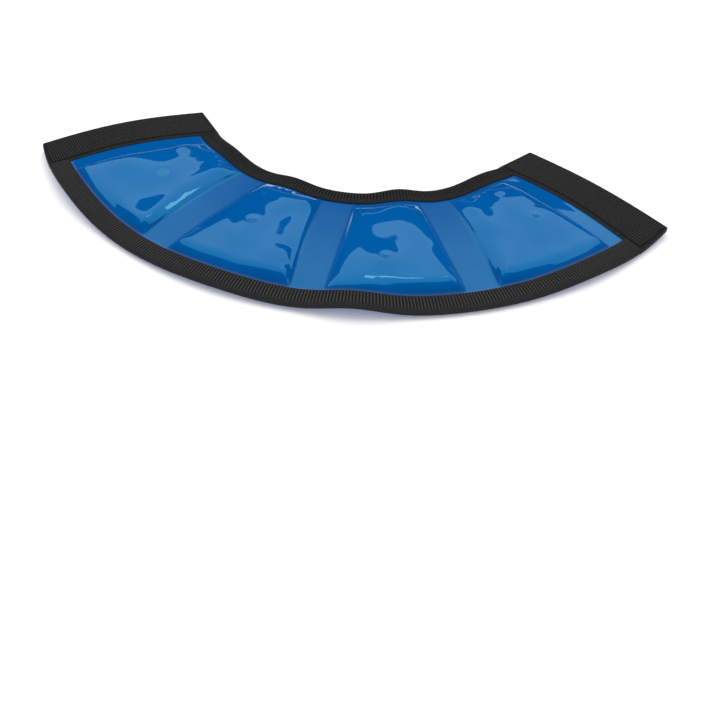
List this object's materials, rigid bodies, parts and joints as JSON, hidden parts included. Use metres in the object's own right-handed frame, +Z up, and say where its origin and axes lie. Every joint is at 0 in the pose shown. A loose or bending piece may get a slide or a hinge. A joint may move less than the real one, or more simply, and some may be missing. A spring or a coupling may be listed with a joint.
{
  "type": "cold compression wrap pack",
  "caption": "Curved cold pack for a limb: blue gel cells under clear film, ribbed black edge binding, hook-tape end tabs, folding at the welded channels.",
  "frame": {"origin": "middle of the outline's box, on the surface that the back sheet lies on", "axes": "+Z up out of the clear window side, +X along the wrap from its left tab to its right one, -Y towards the longer outer edge"},
  "size_m": [0.365, 0.168, 0.0134],
  "materials": {
    "back_sheet": "smooth coated sheet, satin",
    "window_film": "clear soft vinyl, glossy",
    "gel": "blue gel",
    "filler_plug": "clear vinyl stud, glossy",
    "weld": "film welded to the back sheet, glossy",
    "binding": "ribbed woven tape",
    "hook_tape": "woven tape",
    "hook_field": "rows of small nylon hooks",
    "thread": "twisted thread"
  },
  "bodies": {
    "panel_1": {"back_sheet_1": "back_sheet", "window_film_1": "window_film", "gel_fill_1": "gel", "filler_plug_1": "filler_plug", "binding_inner_1": "binding", "binding_outer_1": "binding", "binding_stitching_1": "thread", "tab_fold_left": "weld"},
    "panel_2": {"back_sheet_2": "back_sheet", "window_film_2": "window_film", "gel_fill_2": "gel", "filler_plug_2": "filler_plug", "binding_inner_2": "binding", "binding_outer_2": "binding", "binding_stitching_2": "thread", "fold_weld_12": "weld", "fold_binding_12": "binding", "fold_weld_23": "weld", "fold_binding_23": "binding"},
    "panel_3": {"back_sheet_3": "back_sheet", "window_film_3": "window_film", "gel_fill_3": "gel", "filler_plug_3": "filler_plug", "binding_inner_3": "binding", "binding_outer_3": "binding", "binding_stitching_3": "thread", "fold_weld_34": "weld", "fold_binding_34": "binding"},
    "panel_4": {"back_sheet_4": "back_sheet", "window_film_4": "window_film", "gel_fill_4": "gel", "filler_plug_4": "filler_plug", "binding_inner_4": "binding", "binding_outer_4": "binding", "binding_stitching_4": "thread", "tab_fold_right": "weld"},
    "tab_left": {"tab_back_sheet_left": "back_sheet", "hook_tape_left": "hook_tape", "hook_field_left": "hook_field", "tab_stitching_left": "thread"},
    "tab_right": {"tab_back_sheet_right": "back_sheet", "hook_tape_right": "hook_tape", "hook_field_right": "hook_field", "tab_stitching_right": "thread"}
  },
  "joints": [
    {"name": "fold_12", "type": "hinge", "parent": "panel_2", "child": "panel_1", "pos_m": [-0.06998, -0.01625, 0], "axis": [0.4415, 0.8973, 0], "range_deg": [-170, 70], "deforming": ["fold_weld_12", "fold_binding_12"]},
    {"name": "fold_23", "type": "hinge", "parent": "panel_2", "child": "panel_3", "pos_m": [0, -0.03253, 0], "axis": [0, 1, 0], "range_deg": [-70, 170], "deforming": ["fold_weld_23", "fold_binding_23"]},
    {"name": "fold_34", "type": "hinge", "parent": "panel_3", "child": "panel_4", "pos_m": [0.06998, -0.01625, 0], "axis": [0.4415, -0.8973, 0], "range_deg": [-170, 70], "deforming": ["fold_weld_34", "fold_binding_34"]},
    {"name": "tab_bend_left", "type": "hinge", "parent": "panel_1", "child": "tab_left", "pos_m": [-0.12558, 0.02926, 0], "axis": [-0.7923, -0.6101, 0], "range_deg": [-60, 90], "deforming": ["tab_fold_left"]},
    {"name": "tab_bend_right", "type": "hinge", "parent": "panel_4", "child": "tab_right", "pos_m": [0.12558, 0.02926, 0], "axis": [-0.7923, 0.6101, 0], "range_deg": [-60, 90], "deforming": ["tab_fold_right"]}
  ]
}
